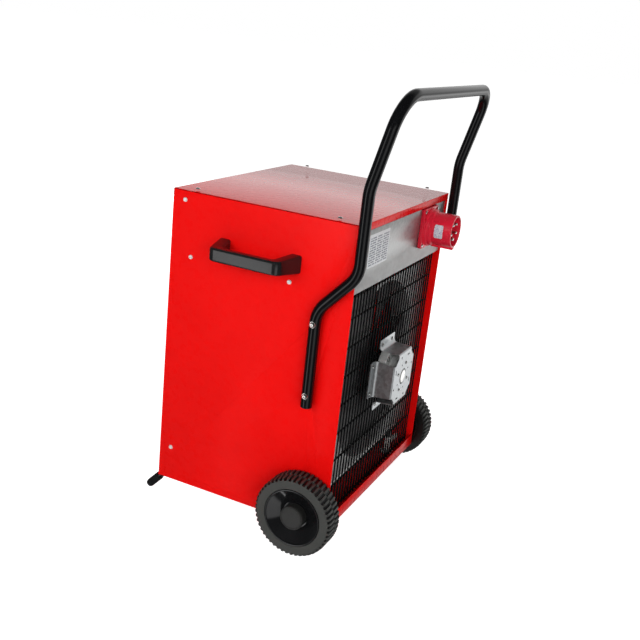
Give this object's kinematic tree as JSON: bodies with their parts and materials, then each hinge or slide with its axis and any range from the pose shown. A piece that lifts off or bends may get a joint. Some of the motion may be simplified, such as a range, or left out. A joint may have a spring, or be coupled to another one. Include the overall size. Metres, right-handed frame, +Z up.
{
  "type": "dehumidifier",
  "caption": "Box-shaped refrigerant dehumidifier on wheels with a bent-tube push handle, rear fan guard and a slide-out condensate tank.",
  "frame": {"origin": "on the floor, under the middle of the bounding box", "axes": "+Z up, +Y to the rear where the push handle and fan guard are, +X to the left for a person pushing it"},
  "size_m": [0.626, 0.4999, 0.9118],
  "materials": {
    "red_paint": "gloss powder coat",
    "galvanised": "zinc-coated, satin",
    "black_tube": "gloss black stove enamel",
    "black_plastic": "satin moulded",
    "black_rubber": "matte",
    "black_wire": "black plastic-dipped wire",
    "tyre_rubber": "satin moulded",
    "crimson_plastic": "semi-gloss moulded",
    "dark_red_plastic": "satin moulded",
    "bright_steel": "bright zinc plate",
    "fin_aluminium": "thin rolled fins",
    "copper": "drawn copper, lightly tarnished",
    "black_enamel": "semi-gloss enamel",
    "white_plastic": "moulded",
    "grey_plastic": "moulded",
    "clear_hose": "milky flexible hose",
    "motor_metal": "die-cast, plain"
  },
  "bodies": {
    "chassis": {"base_pan": "red_paint", "left_side_panel": "red_paint", "right_side_panel": "red_paint", "top_cover": "red_paint", "front_panel": "red_paint", "rear_service_plate": "galvanised", "divider_shelf": "galvanised", "rear_guard": "black_wire", "motor_bracket": "galvanised", "fan_motor": "motor_metal", "fan_shroud": "galvanised", "push_handle": "black_tube", "left_lower_handle_bolt": "bright_steel", "left_upper_handle_bolt": "bright_steel", "right_lower_handle_bolt": "bright_steel", "right_upper_handle_bolt": "bright_steel", "left_carry_handle": "black_plastic", "right_carry_handle": "black_plastic", "left_foot_cap": "black_rubber", "right_foot_cap": "black_rubber", "left_tank_runner": "galvanised", "right_tank_runner": "galvanised", "axle": "bright_steel", "front_foot": "black_tube", "power_inlet_housing": "crimson_plastic", "power_inlet_insert": "dark_red_plastic", "compressor": "black_enamel", "rear_compressor_mount": "black_rubber", "right_compressor_mount": "black_rubber", "left_compressor_mount": "black_rubber", "evaporator_coil": "fin_aluminium", "condenser_coil": "fin_aluminium", "discharge_line": "copper", "suction_line": "copper", "liquid_line": "copper", "capillary_line": "copper", "filter_drier": "copper", "drip_tray": "grey_plastic", "condensate_hose": "clear_hose", "drain_fitting": "white_plastic", "float_switch": "black_plastic", "humidistat_body": "grey_plastic", "switch_housing": "black_plastic", "hour_meter": "black_plastic", "contactor": "grey_plastic", "run_capacitor": "white_plastic", "supply_cable": "black_rubber"},
    "left_wheel": {"left_rim": "black_plastic", "left_tyre": "tyre_rubber", "left_hub_cap": "black_plastic"},
    "right_wheel": {"right_rim": "black_plastic", "right_tyre": "tyre_rubber", "right_hub_cap": "black_plastic"},
    "fan": {"motor_shaft": "bright_steel", "fan_impeller": "black_plastic"},
    "knob": {"humidistat_knob": "black_plastic"},
    "rocker": {"rocker_switch": "black_plastic"},
    "tank": {"condensate_tank": "grey_plastic"},
    "float": {"tank_float": "white_plastic"},
    "filter": {"air_filter": "black_plastic"}
  },
  "joints": [
    {"name": "left_wheel_spin", "type": "hinge", "parent": "chassis", "child": "left_wheel", "pos_m": [0.275, 0.1337, 0.083], "axis": [1, 0, 0], "continuous": true},
    {"name": "right_wheel_spin", "type": "hinge", "parent": "chassis", "child": "right_wheel", "pos_m": [-0.275, 0.1337, 0.083], "axis": [1, 0, 0], "continuous": true},
    {"name": "fan_spin", "type": "hinge", "parent": "chassis", "child": "fan", "pos_m": [0, 0.1347, 0.3105], "axis": [0, 1, 0], "continuous": true},
    {"name": "knob_turn", "type": "hinge", "parent": "chassis", "child": "knob", "pos_m": [-0.13, -0.2143, 0.6055], "axis": [0, 1, 0], "range_deg": [-135, 135]},
    {"name": "rocker_tip", "type": "hinge", "parent": "chassis", "child": "rocker", "pos_m": [0.01, -0.2078, 0.6055], "axis": [1, 0, 0], "range_deg": [-16, 0]},
    {"name": "tank_slide", "type": "slide", "parent": "chassis", "child": "tank", "axis": [0, -1, 0], "range_m": [0, 0.115]},
    {"name": "float_rise", "type": "slide", "parent": "tank", "child": "float", "axis": [0, 0, 1], "range_m": [0, 0.05]},
    {"name": "filter_slide", "type": "slide", "parent": "chassis", "child": "filter", "axis": [0, -1, 0], "range_m": [0, 0.06]}
  ]
}
